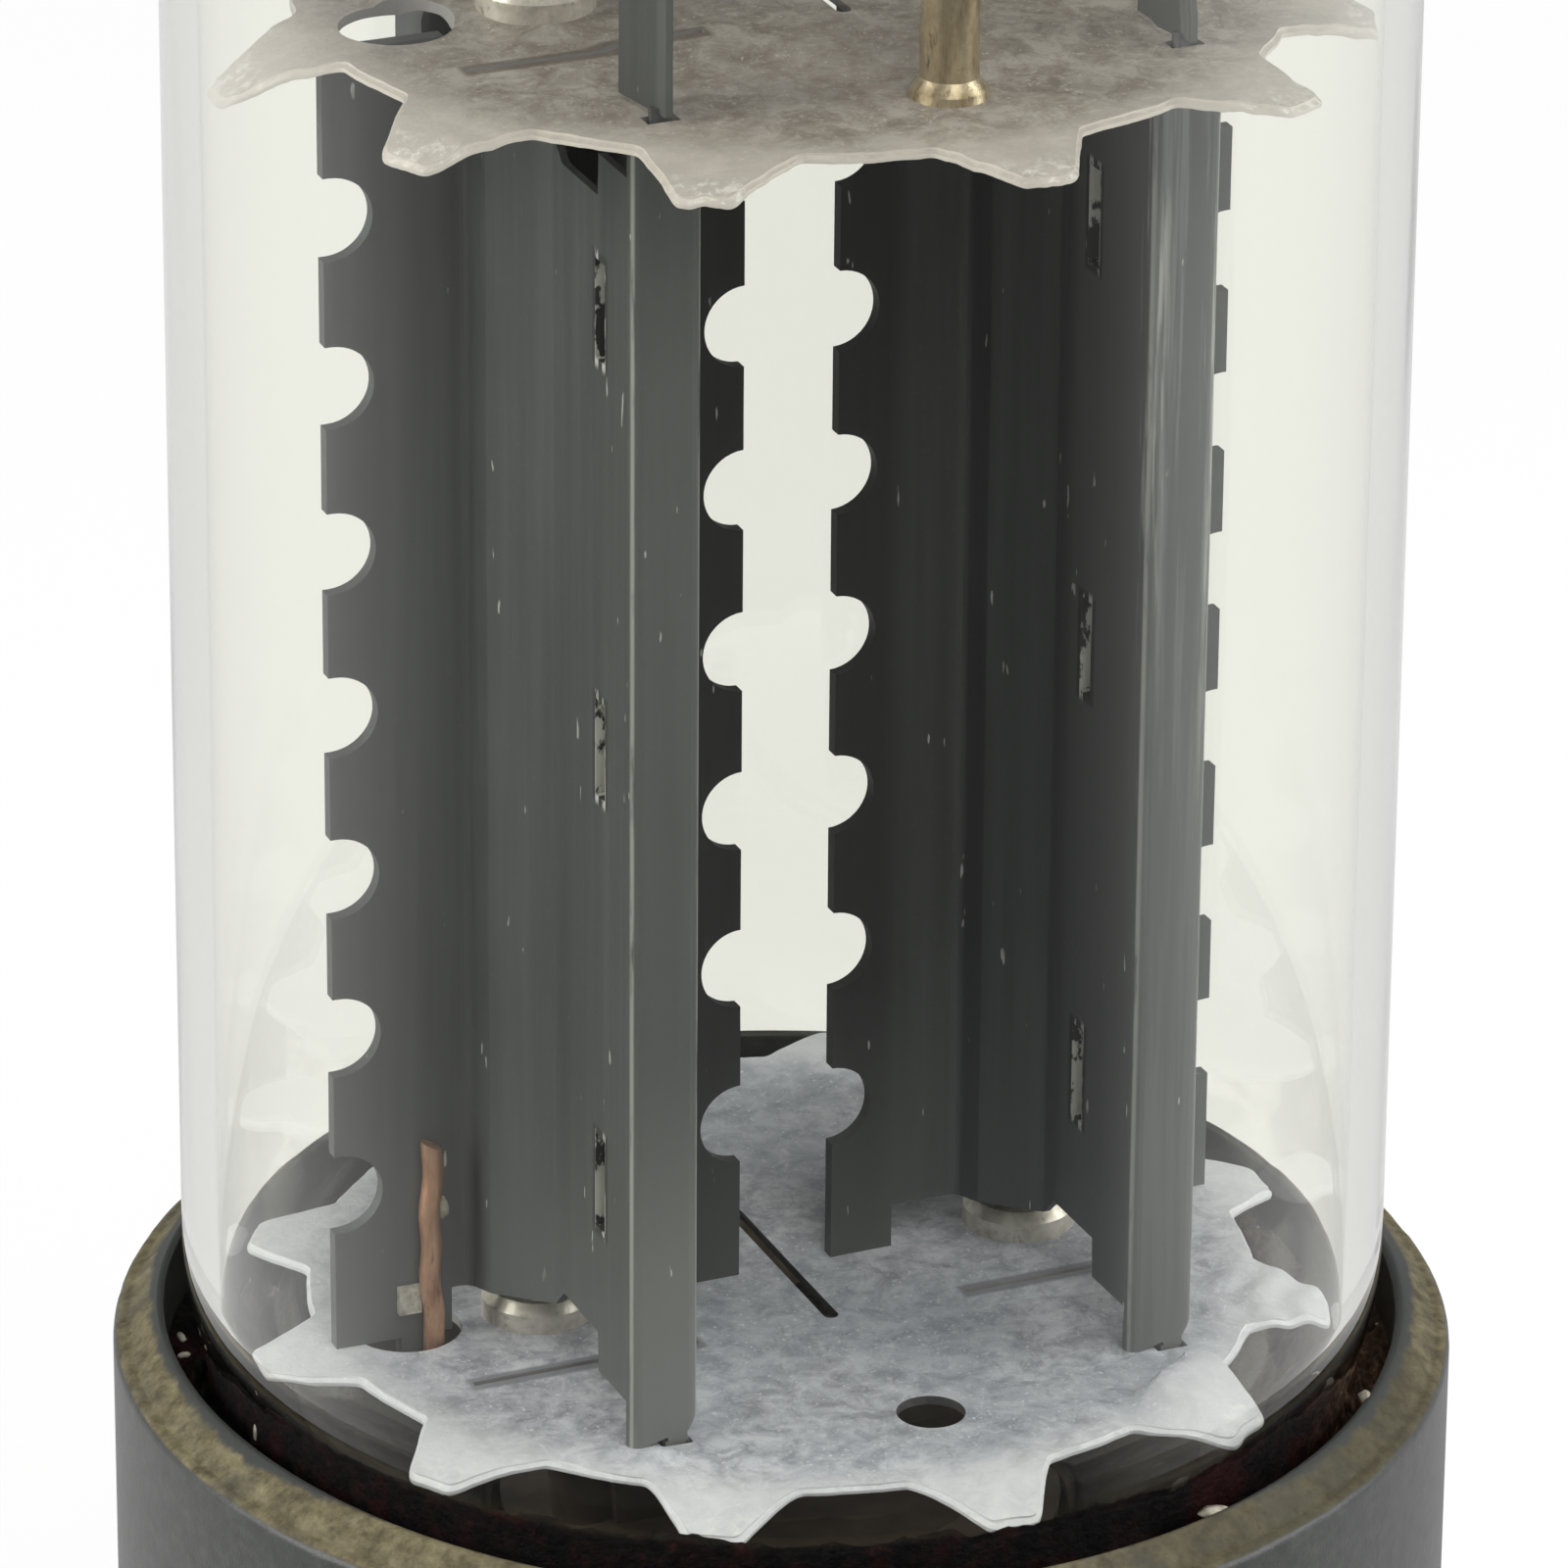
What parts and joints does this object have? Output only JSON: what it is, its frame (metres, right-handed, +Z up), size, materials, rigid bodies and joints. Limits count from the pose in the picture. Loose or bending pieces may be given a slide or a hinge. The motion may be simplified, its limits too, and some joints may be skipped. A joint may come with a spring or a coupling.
{
  "type": "rectifier tube",
  "caption": "Full-wave vacuum rectifier: clear domed glass bulb with two grey finned anodes between micas, on a dark moulded octal base with keyed spigot and contact pins.",
  "frame": {"origin": "bottom centre of the key, on the tube's axis", "axes": "+Z up the tube's axis from the key to the dome; +X along the line of the two anodes; -Y is the front, the side of the key's rib"},
  "size_m": [0.0352, 0.0352, 0.0822],
  "materials": {
    "base": "dark moulded phenolic, worn and dusty at the rim",
    "cement": "rough dark basing cement",
    "pin": "nickel-plated brass, dull",
    "bulb": "clear soda glass",
    "stem": "clear lead glass",
    "sprayed_mica": "mica with a white sprayed coat",
    "clear_mica": "bare mica, faintly brown",
    "anode": "matte grey carbonised steel",
    "cathode": "nickel with a pale oxide coat",
    "heater": "white alumina on tungsten",
    "eyelet": "bright nickel",
    "copper": "copper wire, dull",
    "wire": "nickel wire",
    "strap": "nickel strip",
    "weld_tab": "bright nickel",
    "post": "brass tube",
    "getter": "steel, fired dark"
  },
  "bodies": {
    "root": {"base_shell": "base", "base_cement": "cement", "pin_1": "pin", "pin_2": "pin", "pin_3": "pin", "pin_4": "pin", "pin_5": "pin", "pin_6": "pin", "pin_7": "pin", "pin_8": "pin", "glass_bulb": "bulb", "glass_stem": "stem", "lower_mica": "sprayed_mica", "upper_mica": "clear_mica", "left_anode_front": "anode", "left_anode_rear": "anode", "right_anode_front": "anode", "right_anode_rear": "anode", "left_cathode": "cathode", "right_cathode": "cathode", "left_heater": "heater", "right_heater": "heater", "left_lower_eyelet": "eyelet", "left_upper_eyelet": "eyelet", "right_lower_eyelet": "eyelet", "right_upper_eyelet": "eyelet", "left_anode_lead": "copper", "right_anode_lead": "copper", "heater_lead": "wire", "cathode_lead": "wire", "heater_link": "wire", "cathode_strap": "strap", "left_weld_tab": "weld_tab", "right_weld_tab": "weld_tab", "getter_post": "post", "getter_arm": "wire", "getter_ring": "getter"}
  },
  "joints": []
}
